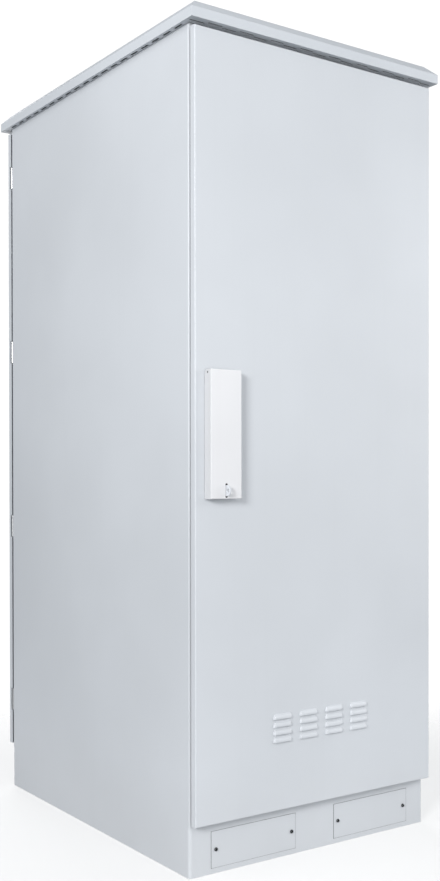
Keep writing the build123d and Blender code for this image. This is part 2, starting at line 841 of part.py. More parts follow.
# Filter holder behind the louvres and the mat in it
filter_width = louvre_span_x + 2 * filter_margin
filter_height = louvre_span_z + 2 * filter_margin
filter_middle = louvre_lowest + louvre_span_z / 2
with BuildPart() as filter_holder:
    with BuildSketch(door_face.offset(-sheet)):
        with Locations((0, filter_middle)):
            Rectangle(filter_width + 2 * filter_rim, filter_height + 2 * filter_rim)
            Rectangle(filter_width, filter_height, mode=Mode.SUBTRACT)
    extrude(amount=-filter_depth)
    with BuildSketch(door_face.offset(-sheet - filter_depth)):
        with Locations((0, filter_middle)):
            Rectangle(filter_width + 2 * filter_rim, filter_height + 2 * filter_rim)
            Rectangle(
                filter_width - 2 * filter_border, filter_height - 2 * filter_border, mode=Mode.SUBTRACT
            )
    extrude(amount=filter_rim)
save_at_both_doors(filter_holder.part, "filter_holder")
with BuildPart() as filter_mat:
    with BuildSketch(door_face.offset(-sheet - filter_depth + filter_rim)):
        with Locations((0, filter_middle)):
            Rectangle(filter_width - running_gap, filter_height - running_gap)
    extrude(amount=filter_mat_thickness)
save_at_both_doors(filter_mat.part, "filter_mat")

# Lock cover: a folded hood that hangs from a pin near its top
with BuildPart() as lock_cover:
    with BuildSketch(door_face.offset(lock_cover_back_gap)):
        with Locations((lock_x, lock_z)):
            Rectangle(lock_cover_width, lock_cover_height)
    extrude(amount=lock_cover_depth - lock_cover_back_gap)
    fillet(lock_cover.faces().sort_by(Axis.Y)[0].edges(), lock_cover_edge_radius)
    offset(amount=-lock_cover_sheet, openings=lock_cover.faces().sort_by(Axis.Y)[-1])
    with BuildSketch(door_face):
        with Locations((lock_x, lock_cover_top)):
            Rectangle(
                lock_cover_width - 2 * lock_cover_sheet,
                2 * lock_cover_sheet,
            )
    extrude(amount=lock_cover_top_cut, mode=Mode.SUBTRACT)
    chamfer(
        lock_cover.edges().filter_by(Axis.X).group_by(Axis.Z)[-1].filter_by(
            lambda edge: edge.center().Y > -(door_front + lock_cover_back_gap + 0.1)
        ),
        lock_cover_chamfer,
    )
    with BuildSketch(Plane.YZ.offset(lock_x - lock_cover_width / 2)):
        with Locations((-pivot_y, pivot_z)):
            Circle(lock_cover_pin_radius + pin_clearance)
    extrude(amount=lock_cover_width, mode=Mode.SUBTRACT)
    with BuildSketch(Plane.XZ.offset(lock_cover_front)):
        with Locations((lock_x, tab_bottom + tab_height / 2)):
            Rectangle(tab_slot_width, tab_relief_spacing)
            with GridLocations(0, tab_relief_spacing, 1, 2):
                Circle(tab_relief_radius)
    extrude(amount=-2 * lock_cover_sheet, mode=Mode.SUBTRACT)
save_at_both_doors(lock_cover.part, "lock_cover")
with BuildPart() as lock_cover_pin:
    with BuildSketch(Plane.YZ.offset(lock_x - lock_cover_width / 2)):
        with Locations((-pivot_y, pivot_z)):
            Circle(lock_cover_pin_radius)
    extrude(amount=lock_cover_width)
save_at_both_doors(lock_cover_pin.part, "lock_cover_pin")

# Lock base: a plate on the door with a dish for the handle and two ears
base_height = lock_cover_height - 2 * lock_cover_sheet - 2 * base_end_gap
sleeve_back = cam_front + sleeve_gap
dish_floor_front = door_front - dish_depth
with BuildPart() as lock_base:
    with BuildSketch(door_face):
        with Locations((lock_x, lock_z)):
            RectangleRounded(base_width, base_height, bend_radius)
            Circle(dish_radius, mode=Mode.SUBTRACT)
    extrude(amount=base_plate)
    with BuildSketch(door_face):
        with Locations((lock_x, lock_z)):
            Circle(dish_radius + dish_wall)
            Circle(dish_radius, mode=Mode.SUBTRACT)
    extrude(amount=-dish_depth)
    with BuildSketch(Plane.XZ.offset(dish_floor_front)):
        with Locations((lock_x, lock_z)):
            Circle(dish_radius + dish_wall)
    extrude(amount=-dish_floor)
    with BuildSketch(Plane.XZ.offset(dish_floor_front)):
        with Locations((lock_x, lock_z)):
            Circle(sleeve_radius)
    extrude(amount=-(dish_floor_front - sleeve_back))
    with BuildSketch(Plane.XZ.offset(dish_floor_front)):
        with Locations((lock_x, lock_z)):
            Circle(shaft_radius + pin_clearance)
    extrude(amount=-(dish_floor_front - sleeve_back), mode=Mode.SUBTRACT)
    for ear_x in (lock_x - base_width / 2, lock_x + base_width / 2 - ear_thickness):
        with BuildSketch(Plane.YZ.offset(ear_x)):
            with Locations((-pivot_y, pivot_z)):
                Circle(ear_radius)
            with Locations((-door_front, pivot_z)):
                Rectangle(
                    lock_cover_pivot_stand_off, 2 * ear_radius, align=(Align.MAX, Align.MAX)
                )
            with Locations((-pivot_y, pivot_z)):
                Circle(lock_cover_pin_radius + pin_clearance, mode=Mode.SUBTRACT)
        extrude(amount=ear_thickness)
save_at_both_doors(lock_base.part, "lock_base")

# Padlock tab, which stands on the lock base and passes through the cover
tab_middle = tab_bottom + tab_height / 2
tab_root = door_front + base_plate
tab_tip = lock_cover_front + tab_reach
with BuildPart() as padlock_tab:
    with BuildSketch(Plane.YZ.offset(lock_x - tab_thickness / 2)):
        with Locations((-tab_root, tab_middle)):
            Rectangle(
                tab_tip - tab_root - tab_height / 2, tab_height, align=(Align.MAX, Align.CENTER)
            )
        with Locations((-(tab_tip - tab_height / 2), tab_middle)):
            Circle(tab_height / 2)
        with Locations((-(lock_cover_front + tab_reach / 2), tab_middle)):
            Circle(tab_hole_radius, mode=Mode.SUBTRACT)
    extrude(amount=tab_thickness)
save_at_both_doors(padlock_tab.part, "padlock_tab")

# T handle with its stem, shaft and square end
bar_front = lock_cover_front - lock_cover_sheet - handle_cover_gap
bar_back = bar_front - handle_thickness
with BuildPart() as t_handle:
    with BuildSketch(Plane.XZ.offset(bar_back)):
        with Locations((lock_x, lock_z)):
            SlotOverall(handle_span, handle_height)
    extrude(amount=handle_thickness)
    fillet(t_handle.faces().sort_by(Axis.Y)[0].edges(), bend_radius)
    with BuildSketch(Plane.XZ.offset(dish_floor_front + running_gap)):
        with Locations((lock_x, lock_z)):
            Circle(stem_radius)
    extrude(amount=bar_back - dish_floor_front - running_gap)
    with BuildSketch(Plane.XZ.offset(dish_floor_front + running_gap)):
        with Locations((lock_x, lock_z)):
            Circle(shaft_radius)
    extrude(amount=-(dish_floor_front + running_gap - cam_front))
    with BuildSketch(Plane.XZ.offset(cam_front)):
        with Locations((lock_x, lock_z)):
            Rectangle(shaft_square, shaft_square)
    extrude(amount=-cam_plate)
save_at_both_doors(t_handle.part, "t_handle")

# Lock cam with a tongue for the side of the frame and two crank pins for the rods
tongue_reach = lock_x + frame_half_width + tongue_reach_past_frame
with BuildPart() as lock_cam:
    with BuildSketch(Plane.XZ.offset(cam_front)):
        with Locations((lock_x, lock_z)):
            SlotOverall(
                2 * (crank_radius + crank_pin_radius + sheet),
                2 * (crank_pin_radius + sheet),
                rotation=-crank_half_swing,
            )
            Circle(cam_hub_radius)
            Rectangle(tongue_width, tongue_reach, align=(Align.CENTER, Align.MIN))
            Rectangle(
                shaft_square + 2 * square_clearance,
                shaft_square + 2 * square_clearance,
                mode=Mode.SUBTRACT,
            )
    extrude(amount=-cam_plate)
    with BuildSketch(Plane.XZ.offset(cam_back)):
        with Locations((lock_x + crank_x, lock_z - crank_z), (lock_x - crank_x, lock_z + crank_z)):
            Circle(crank_pin_radius)
    extrude(amount=-(rod_gap + rod_thickness))
save_at_both_doors(lock_cam.part, "lock_cam")

# Lock rods: flat bars that slide behind the header and the sill
slot_length = crank_radius - crank_x + 2 * (crank_pin_radius + rod_slot_play)
slot_height = 2 * (crank_pin_radius + rod_slot_play)
slot_middle = (crank_x + crank_radius) / 2
for name, turn, tip in (
    ("upper_lock_rod", 1, frame_high - rod_tip_gap),
    ("lower_lock_rod", -1, frame_low + rod_tip_gap),
):
    with BuildPart() as lock_rod:
        foot = lock_z - turn * (crank_z + crank_pin_radius + rod_end_margin)
        with BuildSketch(Plane.XZ.offset(rod_front)):
            with Locations((lock_x + turn * rod_offset, (foot + tip) / 2)):
                RectangleRounded(rod_width, abs(tip - foot), rod_tip_radius)
            with Locations((lock_x + turn * slot_middle, lock_z - turn * crank_z)):
                SlotOverall(slot_length, slot_height, mode=Mode.SUBTRACT)
        extrude(amount=-rod_thickness)
    save_at_both_doors(lock_rod.part, name)

# Guides that hold the rods to the door
guide_back = rod_back - guide_clearance - guide_wall
guide_levels = (
    (1, lock_z + guide_distance_near),
    (1, frame_high - rod_tip_gap - guide_distance_end),
    (-1, lock_z - guide_distance_near),
    (-1, frame_low + rod_tip_gap + guide_distance_end),
)
with BuildPart() as rod_guides:
    for turn, level in guide_levels:
        with BuildSketch(Plane.XY.offset(level - guide_height / 2)):
            with Locations((lock_x + turn * rod_offset, -door_inner_face)):
                Rectangle(
                    guide_width, door_inner_face - guide_back, align=(Align.CENTER, Align.MIN)
                )
            with Locations((lock_x + turn * rod_offset, -rod_front - guide_clearance)):
                Rectangle(
                    rod_width + 2 * guide_clearance,
                    rod_thickness + 2 * guide_clearance,
                    align=(Align.CENTER, Align.MIN),
                    mode=Mode.SUBTRACT,
                )
        extrude(amount=guide_height)
save_at_both_doors(rod_guides.part, "rod_guides")
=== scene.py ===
# %% [markdown]
# This lesson dresses an outdoor equipment cabinet. The rigid frame comes from the
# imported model, in metres, and everything made here sits in the same frame: X runs
# along the front door, Y from the front door to the rear one, and Z upwards.

# %% Load the frame
import bpy
import json
from math import cos, pi, radians, sin
from mathutils import Matrix, Vector


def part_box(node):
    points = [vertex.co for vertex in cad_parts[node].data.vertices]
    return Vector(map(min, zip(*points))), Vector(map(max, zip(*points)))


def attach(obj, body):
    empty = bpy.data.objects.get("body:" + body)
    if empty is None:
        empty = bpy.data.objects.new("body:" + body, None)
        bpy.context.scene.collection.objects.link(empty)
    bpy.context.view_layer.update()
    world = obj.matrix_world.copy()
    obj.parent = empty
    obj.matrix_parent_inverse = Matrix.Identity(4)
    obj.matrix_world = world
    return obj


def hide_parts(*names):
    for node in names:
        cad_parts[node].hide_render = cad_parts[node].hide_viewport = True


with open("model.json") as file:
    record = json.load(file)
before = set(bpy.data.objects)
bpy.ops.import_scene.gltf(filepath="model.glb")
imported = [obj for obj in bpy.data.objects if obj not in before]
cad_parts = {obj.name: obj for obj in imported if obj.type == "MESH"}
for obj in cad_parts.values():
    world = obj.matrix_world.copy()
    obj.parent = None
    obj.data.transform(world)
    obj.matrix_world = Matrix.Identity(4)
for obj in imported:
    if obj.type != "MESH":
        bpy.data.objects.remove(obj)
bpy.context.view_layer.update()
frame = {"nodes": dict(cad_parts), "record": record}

record = frame["record"]
slot_of = {row["node"]: row["material_slot"] for row in record["subparts"]}

# %% [markdown]
# The photograph looks at the near left corner from about waist height. A camera
# could be placed by eye, but here its place was solved from the cabinet's own edges,
# so the numbers below are a direction, a distance, a height and the focal length in
# pixels of the picture, 440 by 881. The lens isn't centred on the picture, so it is
# shifted a little.

# %% Camera
picture = (440, 881)
turn = radians(-33.9487)
tilt = radians(0.536)
roll = radians(-0.083)
eye_distance, eye_aside, eye_height = 3.08792, -0.05979, 0.92169
focal_pixels = 1101.07
centre_pixel = (184.31, 484.31)
sensor = 36
back = Vector((sin(turn), -cos(turn), 0))
side = Vector((cos(turn), sin(turn), 0))
eye = back * eye_distance + side * eye_aside + Vector((0, 0, eye_height))
look = (-back * cos(tilt) - Vector((0, 0, sin(tilt)))).normalized()
upright = side.cross(look).normalized()
right = side * cos(roll) + upright * sin(roll)
above = right.cross(look)
camera_data = bpy.data.cameras.new("camera")
camera_data.sensor_width = sensor
camera_data.lens = focal_pixels * sensor / picture[1]
camera_data.shift_x = (picture[0] / 2 - centre_pixel[0]) / picture[1]
camera_data.shift_y = (centre_pixel[1] - picture[1] / 2) / picture[1]
camera_data.clip_end = 60
camera = bpy.data.objects.new("camera", camera_data)
camera.matrix_world = Matrix(
    (
        (right.x, above.x, -look.x, eye.x),
        (right.y, above.y, -look.y, eye.y),
        (right.z, above.z, -look.z, eye.z),
        (0, 0, 0, 1),
    )
)
bpy.context.scene.collection.objects.link(camera)
bpy.context.scene.camera = camera
bpy.context.scene.view_settings.view_transform = "Standard"
print("camera", tuple(round(v, 3) for v in eye), "lens", round(camera_data.lens, 2))

# %% [markdown]
# The picture seems lit by one broad lamp to the left of the door and by the white
# walls of a studio. The soft shadow beside the lock cover gives the lamp's angle and
# its size. Each lamp was rendered alone, and the main powers are close to the shares
# that give the tones of the door, the side wall and the plinth. The ceiling, the far
# left wall and the rear wall were added for the roof and for views from behind. The
# sky adds a soft even light, and the camera sees it white.

# %% Light
def lamp(name, direction, distance, size, power, aim=(0, 0, 1.0)):
    """A square area lamp, in metres and watts, that looks at the cabinet."""
    data = bpy.data.lights.new(name, "AREA")
    data.size = size
    data.energy = power
    lamp_object = bpy.data.objects.new(name, data)
    place = Vector(aim) + Vector(direction).normalized() * distance
    lamp_object.location = place
    lamp_object.rotation_euler = (Vector(aim) - place).to_track_quat("-Z", "Y").to_euler()
    bpy.context.scene.collection.objects.link(lamp_object)
    return lamp_object


def towards(degrees_left, degrees_up):
    """A direction given as an angle left of the front door's normal, and a height."""
    flat = cos(radians(degrees_up))
    return (
        -sin(radians(degrees_left)) * flat,
        -cos(radians(degrees_left)) * flat,
        sin(radians(degrees_up)),
    )


lamps = [
    lamp("key lamp", towards(55, 12), 5.0, 1.2, 165, (0, 0, 1.2)),
    lamp("front wall", towards(10, 5), 4.5, 3.0, 55, (0, 0, 1.0)),
    lamp("front right wall", towards(-15, 25), 4.5, 3.0, 8, (0, 0, 1.3)),
    lamp("right wall", towards(-60, 10), 4.5, 2.5, 80, (0, 0, 1.0)),
    lamp("high left lamp", towards(85, 35), 3.5, 1.8, 27, (0, 0, 1.6)),
    lamp("far left wall", towards(115, 25), 4.5, 2.0, 4, (0, 0, 1.5)),
    lamp("ceiling", (-0.3, -0.5, 1), 3.5, 2.5, 12, (0, 0, 1.9)),
    lamp("rear wall", towards(-160, 15), 4.5, 3.0, 110, (0, 0, 1.2)),
]
sky_colour, sky_strength = (0.88, 0.94, 1.0, 1), 0.26
seen_colour, seen_strength = (1, 1, 1, 1), 1.05
world = bpy.data.worlds.new("studio")
world.use_nodes = True
bpy.context.scene.world = world
sky = world.node_tree
sky.nodes["Background"].inputs["Color"].default_value = sky_colour
sky.nodes["Background"].inputs["Strength"].default_value = sky_strength
white = sky.nodes.new("ShaderNodeBackground")
white.inputs["Color"].default_value = seen_colour
white.inputs["Strength"].default_value = seen_strength
rays = sky.nodes.new("ShaderNodeLightPath")
choice = sky.nodes.new("ShaderNodeMixShader")
sky.links.new(rays.outputs["Is Camera Ray"], choice.inputs[0])
sky.links.new(sky.nodes["Background"].outputs[0], choice.inputs[1])
sky.links.new(white.outputs[0], choice.inputs[2])
sky.links.new(choice.outputs[0], sky.nodes["World Output"].inputs["Surface"])
print("lamps", [item.name for item in lamps])

# %% [markdown]
# Every new piece is shaped as by hand: a primitive at its size and place, then edit
# mode operators on faces and edges that are picked by where they are. These few
# helpers keep that short. A finished piece is left at the origin, unturned and
# unscaled, and rides on a body of the frame.

# %% Helpers for shaping pieces
def alone(piece):
    """Make one piece the only selected and the active one, in object mode."""
    if bpy.context.mode != "OBJECT":
        bpy.ops.object.mode_set(mode="OBJECT")
    bpy.ops.object.select_all(action="DESELECT")
    piece.select_set(True)
    bpy.context.view_layer.objects.active = piece


def named(name):
    """Name the piece just added and put its place and size into its mesh."""
    piece = bpy.context.object
    piece.name = name
    piece.data.name = name
    bpy.ops.object.transform_apply(location=True, rotation=True, scale=True)
    return piece


def block(name, low, high):
    """A box between two corners."""
    bpy.ops.object.select_all(action="DESELECT")
    middle = [(a + b) / 2 for a, b in zip(low, high)]
    bpy.ops.mesh.primitive_cube_add(size=1, location=middle)
    bpy.context.object.scale = [b - a for a, b in zip(low, high)]
    return named(name)


def rod(name, start, end, radius, sides=32):
    """A cylinder between two points."""
    bpy.ops.object.select_all(action="DESELECT")
    run = Vector(end) - Vector(start)
    bpy.ops.mesh.primitive_cylinder_add(
        vertices=sides,
        radius=radius,
        depth=run.length,
        location=(Vector(start) + Vector(end)) / 2,
        rotation=run.to_track_quat("Z", "Y").to_euler(),
    )
    return named(name)


def pick(piece, kind, test):
    """Enter edit mode with only the faces or edges selected that pass a test."""
    alone(piece)
    mesh = piece.data
    for parts in (mesh.vertices, mesh.edges, mesh.polygons):
        parts.foreach_set("select", [False] * len(parts))
    chosen = 0
    if kind == "faces":
        for face in mesh.polygons:
            face.select = bool(test(face.center, face.normal))
            chosen += face.select
    else:
        for edge in mesh.edges:
            a, b = (mesh.vertices[i].co for i in edge.vertices)
            edge.select = bool(test((a + b) / 2, (b - a).normalized()))
            chosen += edge.select
    bpy.context.tool_settings.mesh_select_mode = (False, kind == "edges", kind == "faces")
    bpy.ops.object.mode_set(mode="EDIT")
    return chosen


def done():
    """Leave edit mode."""
    bpy.ops.object.mode_set(mode="OBJECT")


def modified(piece, kind, **settings):
    """Add a modifier, set it and apply it."""
    alone(piece)
    modifier = piece.modifiers.new(kind.lower(), kind)
    for key, value in settings.items():
        setattr(modifier, key, value)
    bpy.ops.object.modifier_apply(modifier=modifier.name)


def cut(piece, tool, operation="DIFFERENCE"):
    """Take a tool's shape out of a piece, or join it on, and drop the tool."""
    modified(piece, "BOOLEAN", object=tool, operation=operation, solver="EXACT")
    bpy.data.objects.remove(tool)


def copied(piece, name, matrix):
    """A copy with its own mesh, moved or turned by a matrix."""
    twin = piece.copy()
    twin.data = piece.data.copy()
    twin.data.transform(matrix)
    twin.name = twin.data.name = name
    bpy.context.scene.collection.objects.link(twin)
    return twin


def joined(name, parts):
    """Several pieces made one."""
    alone(parts[0])
    for part in parts:
        part.select_set(True)
    bpy.ops.object.join()
    piece = bpy.context.object
    piece.name = piece.data.name = name
    return piece


def smoothed(piece, degrees=35):
    """Round shading over gentle turns, crisp over sharp ones."""
    alone(piece)
    bpy.ops.object.shade_smooth_by_angle(angle=radians(degrees))


past = 0.01
print("helpers ready, cutting tools reach", past, "m past a piece")

# %% [markdown]
# Shader maths reads best as Python. A wire wraps one output socket, and an
# expression on wires and numbers adds the Math nodes behind it.

# %% Wires for shader maths
class Wire:
    """One output socket of a material's nodes."""

    def __init__(self, tree, socket):
        self.tree = tree
        self.socket = socket

    def add(self, kind, settings=None, inputs=None, output=0):
        """A node of any kind, its settings first and then its inputs."""
        node = self.tree.nodes.new(kind)
        for key, value in (settings or {}).items():
            setattr(node, key, value)
        for key, value in (inputs or {}).items():
            if isinstance(value, Wire):
                self.tree.links.new(value.socket, node.inputs[key])
            else:
                node.inputs[key].default_value = value
        return Wire(self.tree, node.outputs[output])

    def _math(self, operation, first, second):
        """A Math node on two values."""
        return self.add("ShaderNodeMath", {"operation": operation}, {0: first, 1: second})

    def __add__(self, other):
        return self._math("ADD", self, other)

    __radd__ = __add__

    def __mul__(self, other):
        return self._math("MULTIPLY", self, other)

    __rmul__ = __mul__

    def __sub__(self, other):
        return self._math("SUBTRACT", self, other)

    def __rsub__(self, other):
        return self._math("SUBTRACT", other, self)

    def magnitude(self):
        """The value without its sign."""
        return self._math("ABSOLUTE", self, 0.0)

    def step(self, low, high):
        """From 0 below one value to 1 above another, smoothly."""
        return self.add(
            "ShaderNodeMapRange",
            {"interpolation_type": "SMOOTHSTEP"},
            {"Value": self, "From Min": low, "From Max": high},
        )

    def noise(self, scale, detail=2.0, stretch=(1, 1, 1)):
        """Soft noise over a place, with the scale in waves a metre."""
        where = self.add("ShaderNodeMapping", None, {"Vector": self, "Scale": stretch})
        return self.add(
            "ShaderNodeTexNoise", None, {"Vector": where, "Scale": scale, "Detail": detail}
        )

    def axis(self, index):
        """One coordinate of a place."""
        return self.add("ShaderNodeSeparateXYZ", None, {0: self}, index)

    def mix(self, first, second):
        """A colour between two, with this wire as the share of the second."""
        return self.add(
            "ShaderNodeMix", {"data_type": "RGBA"}, {0: self, 6: first, 7: second}, 2
        )

    def bump(self, strength, distance):
        """Small relief from this height."""
        return self.add(
            "ShaderNodeBump", None, {"Height": self, "Strength": strength, "Distance": distance}
        )


def new_finish(name):
    """A material, its place in object coordinates and its shader."""
    finish = bpy.data.materials.new(name)
    finish.use_nodes = True
    tree = finish.node_tree
    coordinates = tree.nodes.new("ShaderNodeTexCoord")
    return finish, Wire(tree, coordinates.outputs["Object"]), tree.nodes["Principled BSDF"]


def feed(shader, **values):
    """Give the shader's sockets their wires or numbers, by name with _ for a space."""
    for key, value in values.items():
        socket = shader.inputs[key.replace("_", " ")]
        if isinstance(value, Wire):
            value.tree.links.new(value.socket, socket)
        else:
            socket.default_value = value


print("wires ready")

# %% [markdown]
# The shell is powder coated: a pale cool grey, slightly bluish, with a fine orange
# peel that only shows as a soft gloss. Outdoors it gathers a little dust near the
# ground and faint rain marks under the eaves. A flat colour would look like paper,
# so slow noise moves its tone and its gloss a little. The lock covers are whiter, and
# their side cheeks are painted darker: painted shade for the faces turned from the light.

# %% Powder coat
dust_colour = (0.36, 0.34, 0.31, 1)
rain_colour, rain_share = (0.40, 0.40, 0.38, 1), 0.015
# Painted shade: the darker colour given to the side cheeks of the lock covers.
cheek_shade_colour = (0.60, 0.605, 0.62, 1)


def powder_coat(name, colour, dust=0.10, gloss=0.42, cheeks=None):
    """Powder coat with orange peel, faint rain marks and dust near the ground.

    The cheeks of a lock cover, which get a darker colour as painted shade, are given
    as the middle and half the width of the cover, as distances from the middle of
    the cabinet.
    """
    finish, place, shader = new_finish(name)
    height = place.axis(2)
    tone = place.noise(1.6, 3)
    streaks = place.noise(1.0, 2, (55, 55, 1.3)).step(0.52, 0.78)
    low = 1 - (height + place.noise(9, 3) * 0.12).step(0.05, 0.34)
    light = [min(1, c * 1.03) for c in colour]
    deep = [c * 0.955 for c in colour]
    base = tone.step(0.3, 0.7).mix((*deep, 1), (*light, 1))
    base = (streaks * rain_share).mix(base, rain_colour)
    base = (low * dust).mix(base, dust_colour)
    # Painted shade: the cover's side cheeks, at its outer rims in X, turn darker.
    if cheeks:
        middle, half = cheeks
        across = place.axis(0).magnitude() - middle
        base = across.magnitude().step(half - 0.0016, half - 0.0011).mix(base, cheek_shade_colour)
    peel = place.noise(420, 1) + place.noise(1500, 0) * 0.3
    feed(
        shader,
        Base_Color=base,
        Roughness=place.noise(6, 2) * 0.10 + low * 0.12 + (gloss - 0.05),
        Normal=peel.bump(0.06, 0.0004),
    )
    shader.inputs["Specular IOR Level"].default_value = 0.45
    return finish


body_coat = powder_coat("body powder coat", (0.612, 0.636, 0.668))
lock_coat = powder_coat("lock powder coat", (0.640, 0.665, 0.700), 0.0, 0.36)
cover_low, cover_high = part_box("front_lock_cover")
cover_middle = abs(cover_low[0] + cover_high[0]) / 2
cover_half = (cover_high[0] - cover_low[0]) / 2
# The lock cover coat carries the painted shade on its cheeks.
cover_coat_with_cheek_shade = powder_coat(
    "lock cover powder coat with painted cheek shade", (0.760, 0.760, 0.775), 0.0, 0.36, (cover_middle, cover_half)
)
# The roof canopy has the body's paint. This slightly darker copy is painted shade on the
# canopy.
roof_coat_painted_shade = powder_coat("roof powder coat with painted shade", (0.585, 0.612, 0.645), 0.0)
print("coats", body_coat.name, lock_coat.name, roof_coat_painted_shade.name)

# %% [markdown]
# Inside and underneath are bare metals: zinc plate on the rails and brackets, with
# its faint spangle, stainless wire on the fan guards and brass on the earth bar. They
# share one recipe, since only the colour, the gloss and the crystals differ.

# %% Metals
def metal(name, colour, gloss, spangle=0.0, grain=900.0):
    """Bare or plated metal, with an optional crystal pattern."""
    finish, place, shader = new_finish(name)
    cells = place.add(
        "ShaderNodeTexVoronoi", {"feature": "F1"}, {"Vector": place, "Scale": 130}, 0
    )
    shade = place.noise(22, 3).step(0.25, 0.75) * 0.6 + cells.step(0.0, 0.8) * spangle
    dark = [c * 0.80 for c in colour]
    feed(
        shader,
        Base_Color=shade.mix((*dark, 1), (*colour, 1)),
        Metallic=1.0,
        Roughness=place.noise(40, 3) * 0.18 + gloss,
        Normal=place.noise(grain, 1).bump(0.05, 0.0003),
    )
    return finish


zinc = metal("zinc plate", (0.70, 0.71, 0.72), 0.30, 0.4)
stainless = metal("stainless steel", (0.62, 0.61, 0.60), 0.18)
brass = metal("earth brass", (0.80, 0.58, 0.27), 0.22)


# %% [markdown]
# The plastics, the rubber and the fleece come from moulds or mats and have a fine
# skin. A second recipe gives each its colour, its gloss and the depth of its skin.

# %% Plastics, rubber and fleece
def moulded(name, colour, gloss, grain, relief):
    """Moulded plastic or rubber with a fine skin."""
    finish, place, shader = new_finish(name)
    tone = place.noise(12, 3).step(0.3, 0.7)
    deep = [c * 0.85 for c in colour]
    feed(
        shader,
        Base_Color=tone.mix((*deep, 1), (*colour, 1)),
        Roughness=place.noise(30, 2) * 0.10 + gloss,
        Normal=place.noise(grain, 2).bump(relief, 0.0004),
    )
    return finish


black_plastic = moulded("black plastic", (0.022, 0.022, 0.024), 0.40, 1600, 0.15)
light_plastic = moulded("light plastic", (0.72, 0.72, 0.69), 0.38, 1200, 0.08)
red_insulator = moulded("red insulator", (0.50, 0.045, 0.030), 0.32, 900, 0.06)
# This grey rubber is only for the plinth gaskets, as painted seam shade.
seam_shade_rubber = moulded("grey rubber, painted seam shade", (0.10, 0.105, 0.11), 0.60, 700, 0.2)
seal_rubber = moulded("seal rubber", (0.016, 0.016, 0.017), 0.70, 700, 0.25)
filter_fleece = moulded("filter fleece", (0.78, 0.79, 0.78), 0.90, 380, 1.0)
finish_of_slot = {
    "body_paint": body_coat,
    "lock_paint": lock_coat,
    "zinc_plated_steel": zinc,
    "black_plastic": black_plastic,
    "light_plastic": light_plastic,
    "red_insulator": red_insulator,
    "seal_rubber": seal_rubber,
    "filter_fleece": filter_fleece,
    "earth_brass": brass,
}
print("finishes", len(finish_of_slot))

# %% [markdown]
# The nodes of the frame that keep their shape get their finish in their material
# slots. Their meshes aren't touched.

# %% Dress the frame's own nodes
for name, node in frame["nodes"].items():
    node.data.materials.clear()
    node.data.materials.append(finish_of_slot[slot_of[name]])
# The canopy takes the darker copy of the body coat: painted shade.
frame["nodes"]["roof_canopy"].data.materials[0] = roof_coat_painted_shade
for end in ("front", "rear"):
    frame["nodes"][f"{end}_lock_cover"].data.materials[0] = cover_coat_with_cheek_shade
print("dressed", len(frame["nodes"]), "nodes, slots used", len(set(slot_of.values())))

# %% [markdown]
# From here on, single pieces are modelled where the frame's plain solid is too
# simple for a close look. The front door's pieces are made once. The rear door has
# the same ones, so they are copied and turned half round.

# %% Fit a finished piece to the frame
def fitted(piece, body, slot, finish=None, replaces=(), degrees=35):
    """Shade a piece, give it its finish and let it ride on a body."""
    smoothed(piece, degrees)
    piece.data.materials.clear()
    piece.data.materials.append(finish or finish_of_slot[slot])
    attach(piece, body)
    if replaces:
        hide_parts(*replaces)
    print(piece.name, len(piece.data.polygons), "faces")


def fitted_at_both_doors(piece, body, slot, finish=None, replaces="", degrees=35):
    """Fit a front piece and its twin at the rear. A body of "" is the cabinet."""
    name = piece.name
    twin = copied(piece, "rear_" + name, Matrix.Rotation(pi, 4, "Z"))
    piece.name = piece.data.name = "front_" + name
    for item, end in ((piece, "front"), (twin, "rear")):
        fitted(
            item,
            f"{end}_{body}" if body else "cabinet",
            slot,
            finish,
            (f"{end}_{replaces}",) if replaces else (),
            degrees,
        )


# %% [markdown]
# The plinth covers are plates with rounded edges on a thin rubber gasket, whose
# dark grey edge shows as a faint line round each plate: painted shade for the seam
# between plate and plinth. A plate is a block whose front rim is bevelled. The gasket
# is a slightly larger block with the plate's shape cut out.

# %% Plinth covers and their gaskets
plate_low, plate_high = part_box("front_plinth_covers")
front_face, plate_front = plate_high[1], plate_low[1]
plate_width, plate_round = 0.250, 0.002
rim_width, rim_fall, rim_reach = 0.0009, 0.0007, 0.0007
gasket_rim, gasket_depth = 0.0005, 0.0008
plates, gaskets = [], []
for left in (plate_low[0], plate_high[0] - plate_width):
    low = (left, plate_front, plate_low[2])
    high = (left + plate_width, front_face, plate_high[2])
    plate = block("plate", low, high)
    pick(plate, "edges", lambda middle, run: abs(run.y) > 0.9)
    bpy.ops.mesh.bevel(offset=plate_round, segments=3, affect="EDGES")
    done()
    pick(plate, "faces", lambda middle, normal: normal.y < -0.9)
    bpy.ops.mesh.inset(thickness=rim_width)
    done()
    pick(
        plate,
        "edges",
        lambda middle, run: middle.y < plate_front + 0.00001
        and (
            min(abs(middle.x - low[0]), abs(middle.x - high[0])) < rim_reach
            or min(abs(middle.z - low[2]), abs(middle.z - high[2])) < rim_reach
        ),
    )
    bpy.ops.transform.translate(value=(0, rim_fall, 0))
    done()
    gasket = block(
        "gasket",
        (low[0] - gasket_rim, front_face - gasket_depth, low[2] - gasket_rim),
        (high[0] + gasket_rim, front_face, high[2] + gasket_rim),
    )
    cut(
        gasket,
        block(
            "hole",
            (low[0], front_face - past, low[2]),
            (high[0], front_face + past, high[2]),
        ),
    )
    plates.append(plate)
    gaskets.append(gasket)
fitted_at_both_doors(
    joined("plinth_cover_plates", plates), "", "body_paint", None, "plinth_covers", 50
)
# The gaskets' grey rubber is painted shade: it darkens the seam round each plate.
fitted_at_both_doors(joined("plinth_cover_seam_shade_gaskets", gaskets), "", "seal_rubber", seam_shade_rubber)

# %% [markdown]
# Each plate is held by two domed screws with a hexagon socket. One screw is made:
# a low cylinder whose front rim is bevelled into a dome, with a hexagon cut into
# it. Eight copies make the set.

